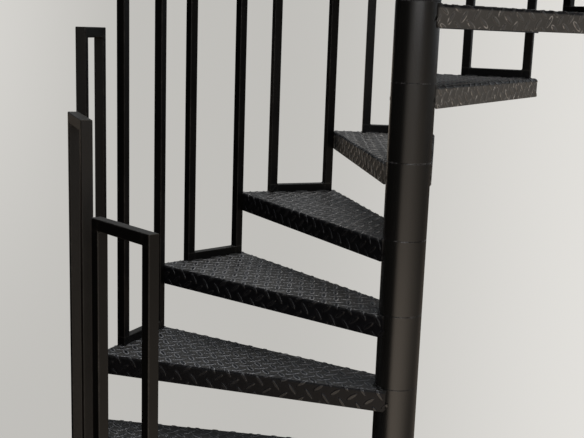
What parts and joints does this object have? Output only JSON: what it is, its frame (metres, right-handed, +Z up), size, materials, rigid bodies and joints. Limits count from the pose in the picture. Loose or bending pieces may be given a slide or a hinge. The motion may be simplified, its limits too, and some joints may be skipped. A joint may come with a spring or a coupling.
{
  "type": "spiral staircase",
  "caption": "Clockwise steel spiral staircase: sleeved column, folded raised-pattern wedge treads and a closed square-tube hoop on each tread's outer end.",
  "frame": {"origin": "on the column's axis at floor level, at the underside of the base plate", "axes": "+Z up along the column; the first tread points to 225 degrees from +X, and the stair climbs clockwise seen from above"},
  "size_m": [1.6173, 1.4894, 3.538],
  "materials": {
    "column_paint": "satin black paint on rolled steel tube",
    "base_paint": "satin black paint on plate, with weld beads",
    "tread_plate": "satin black paint on raised-pattern plate, worn grey on the raised bars",
    "hoop_paint": "satin black paint on square tube"
  },
  "bodies": {
    "root": {"base_plate": "base_paint", "pole": "column_paint", "newel_sleeve": "column_paint", "top_cap": "column_paint", "sleeve_01": "column_paint", "sleeve_02": "column_paint", "sleeve_03": "column_paint", "sleeve_04": "column_paint", "sleeve_05": "column_paint", "sleeve_06": "column_paint", "sleeve_07": "column_paint", "sleeve_08": "column_paint", "sleeve_09": "column_paint", "sleeve_10": "column_paint", "sleeve_11": "column_paint", "sleeve_12": "column_paint", "sleeve_13": "column_paint", "tread_01": "tread_plate", "tread_02": "tread_plate", "tread_03": "tread_plate", "tread_04": "tread_plate", "tread_05": "tread_plate", "tread_06": "tread_plate", "tread_07": "tread_plate", "tread_08": "tread_plate", "tread_09": "tread_plate", "tread_10": "tread_plate", "tread_11": "tread_plate", "tread_12": "tread_plate", "tread_13": "tread_plate", "hoop_01": "hoop_paint", "hoop_02": "hoop_paint", "hoop_03": "hoop_paint", "hoop_04": "hoop_paint", "hoop_05": "hoop_paint", "hoop_06": "hoop_paint", "hoop_07": "hoop_paint", "hoop_08": "hoop_paint", "hoop_09": "hoop_paint", "hoop_10": "hoop_paint", "hoop_11": "hoop_paint", "hoop_12": "hoop_paint", "hoop_13": "hoop_paint"}
  },
  "joints": []
}
